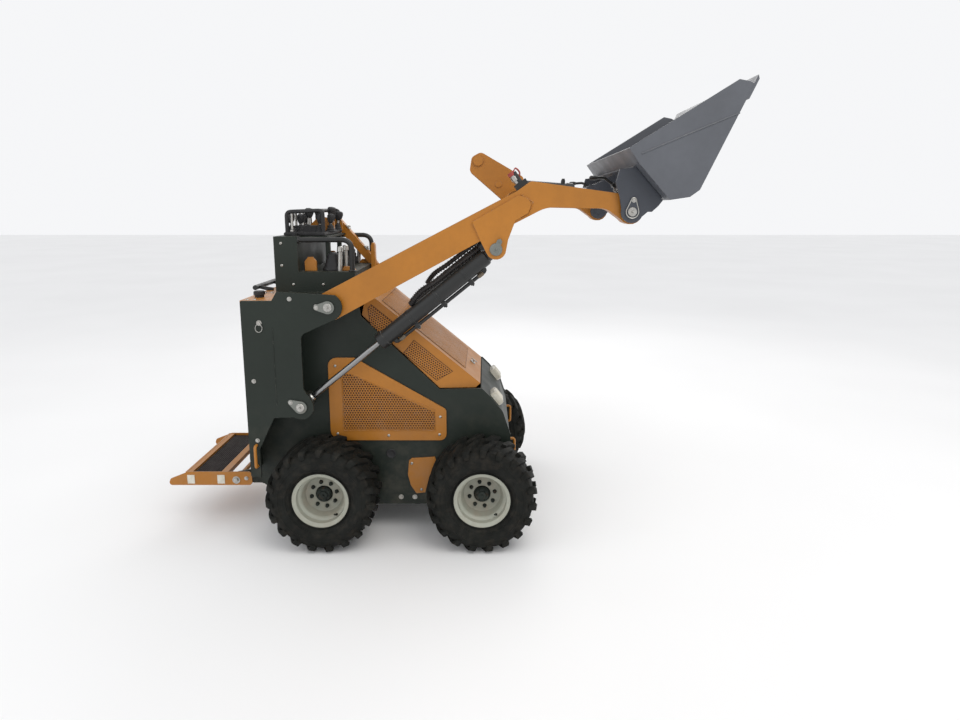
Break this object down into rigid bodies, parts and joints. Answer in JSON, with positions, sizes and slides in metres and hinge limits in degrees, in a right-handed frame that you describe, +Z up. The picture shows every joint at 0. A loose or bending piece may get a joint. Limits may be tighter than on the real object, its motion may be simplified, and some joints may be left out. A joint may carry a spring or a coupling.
{
  "type": "mini skid steer loader",
  "caption": "Stand-on mini skid steer loader with raised lift arms, a rolled-back bucket, opening hood and a fold-up operator platform.",
  "frame": {"origin": "on the ground, midway between the platform's rear tip and the bucket's cutting edge, in the middle of the width", "axes": "+X forward to the bucket, +Y to the machine's left, +Z up"},
  "size_m": [2.3904, 1.04, 1.8708],
  "materials": {
    "orange": "satin paint, worn",
    "body_grey": "satin paint",
    "bucket_grey": "scuffed paint",
    "black_steel": "satin black",
    "black_plastic": "matte",
    "tyre_rubber": "matte rubber",
    "ivory": "satin paint",
    "iron": "rough casting",
    "bright_steel": "bright",
    "lamp": "gloss",
    "mat": "ribbed matte"
  },
  "bodies": {
    "chassis": {"main_frame": "body_grey", "tower_plate_left": "body_grey", "tower_plate_right": "body_grey", "arm_pivot_pin_left": "bright_steel", "arm_pivot_pin_right": "bright_steel", "lift_foot_pin_left": "bright_steel", "lift_foot_pin_right": "bright_steel", "side_panel_left": "orange", "side_panel_right": "orange", "console_rail_left": "black_steel", "console_rail_right": "black_steel", "work_light_left": "lamp", "work_light_right": "lamp", "rear_panel": "body_grey", "rear_deck": "orange", "filler_cap": "black_plastic", "rear_grab_bar": "black_steel", "nose_plate": "body_grey", "engine_block": "iron", "control_console": "body_grey", "control_levers": "black_plastic", "control_guard": "orange", "wheel_drive_front_left": "iron", "wheel_drive_front_right": "iron", "wheel_drive_rear_left": "iron", "wheel_drive_rear_right": "iron"},
    "wheel_front_left": {"tyre_front_left": "tyre_rubber", "rim_front_left": "ivory", "hub_front_left": "iron"},
    "wheel_front_right": {"tyre_front_right": "tyre_rubber", "rim_front_right": "ivory", "hub_front_right": "iron"},
    "wheel_rear_left": {"tyre_rear_left": "tyre_rubber", "rim_rear_left": "ivory", "hub_rear_left": "iron"},
    "wheel_rear_right": {"tyre_rear_right": "tyre_rubber", "rim_rear_right": "ivory", "hub_rear_right": "iron"},
    "hood": {"hood": "orange"},
    "platform": {"platform": "orange", "platform_mat": "mat"},
    "lift_arms": {"lift_arm_left": "orange", "lift_arm_right": "orange", "lift_head_pin_left": "bright_steel", "lift_head_pin_right": "bright_steel", "arm_cross_member": "orange", "aux_coupler_block": "black_steel"},
    "lift_barrel_left": {"lift_barrel_left": "black_steel"},
    "lift_rod_left": {"lift_rod_left": "bright_steel"},
    "lift_barrel_right": {"lift_barrel_right": "black_steel"},
    "lift_rod_right": {"lift_rod_right": "bright_steel"},
    "tilt_barrel": {"tilt_barrel": "black_steel"},
    "tilt_rod": {"tilt_rod": "bright_steel"},
    "bucket": {"bucket": "bucket_grey", "bucket_hitch": "bucket_grey", "bucket_pin_left": "bright_steel", "bucket_pin_right": "bright_steel"}
  },
  "joints": [
    {"name": "wheel_front_left", "type": "hinge", "parent": "chassis", "child": "wheel_front_left", "pos_m": [0.193, 0.4125, 0.2285], "axis": [0, 1, 0], "continuous": true},
    {"name": "wheel_front_right", "type": "hinge", "parent": "chassis", "child": "wheel_front_right", "pos_m": [0.193, -0.4125, 0.2285], "axis": [0, 1, 0], "continuous": true},
    {"name": "wheel_rear_left", "type": "hinge", "parent": "chassis", "child": "wheel_rear_left", "pos_m": [-0.462, 0.4125, 0.2285], "axis": [0, 1, 0], "continuous": true},
    {"name": "wheel_rear_right", "type": "hinge", "parent": "chassis", "child": "wheel_rear_right", "pos_m": [-0.462, -0.4125, 0.2285], "axis": [0, 1, 0], "continuous": true},
    {"name": "lift", "type": "hinge", "parent": "chassis", "child": "lift_arms", "pos_m": [-0.415, 0, 1.01], "axis": [0, -1, 0], "range_deg": [-58, 0]},
    {"name": "bucket_tilt", "type": "hinge", "parent": "lift_arms", "child": "bucket", "pos_m": [0.77, 0, 1.382], "axis": [0, 1, 0], "range_deg": [-15, 100]},
    {"name": "hood_hinge", "type": "hinge", "parent": "chassis", "child": "hood", "pos_m": [-0.295, 0, 1.052], "axis": [0, -1, 0], "range_deg": [0, 60]},
    {"name": "platform_fold", "type": "hinge", "parent": "chassis", "child": "platform", "pos_m": [-0.898, 0, 0.208], "axis": [0, 1, 0], "range_deg": [0, 80]},
    {"name": "lift_barrel_left", "type": "hinge", "parent": "lift_arms", "child": "lift_barrel_left", "pos_m": [0.248, 0.37, 1.237], "axis": [0, -1, 0], "range_deg": [-1, 17]},
    {"name": "lift_rod_left", "type": "slide", "parent": "lift_barrel_left", "child": "lift_rod_left", "axis": [-0.7789, 0, -0.6271], "range_m": [-0.344, 0.001]},
    {"name": "lift_barrel_right", "type": "hinge", "parent": "lift_arms", "child": "lift_barrel_right", "pos_m": [0.248, -0.37, 1.237], "axis": [0, -1, 0], "range_deg": [-1, 17]},
    {"name": "lift_rod_right", "type": "slide", "parent": "lift_barrel_right", "child": "lift_rod_right", "axis": [-0.7789, 0, -0.6271], "range_m": [-0.344, 0.001]},
    {"name": "tilt_barrel", "type": "hinge", "parent": "lift_arms", "child": "tilt_barrel", "pos_m": [0.265, 0, 1.5], "axis": [0, 1, 0], "range_deg": [-4, 1]},
    {"name": "tilt_rod", "type": "slide", "parent": "tilt_barrel", "child": "tilt_rod", "axis": [0.9973, 0, -0.073], "range_m": [-0.031, 0.197]}
  ],
  "couplings": [
    {"joint": "lift_barrel_left", "follows": "lift", "ratio": -0.2819},
    {"joint": "lift_rod_left", "follows": "lift", "m_per_rad": 0.3384},
    {"joint": "lift_barrel_right", "follows": "lift", "ratio": -0.2819},
    {"joint": "lift_rod_right", "follows": "lift", "m_per_rad": 0.3384},
    {"joint": "tilt_barrel", "follows": "bucket_tilt", "ratio": -0.035},
    {"joint": "tilt_rod", "follows": "bucket_tilt", "m_per_rad": 0.112}
  ]
}
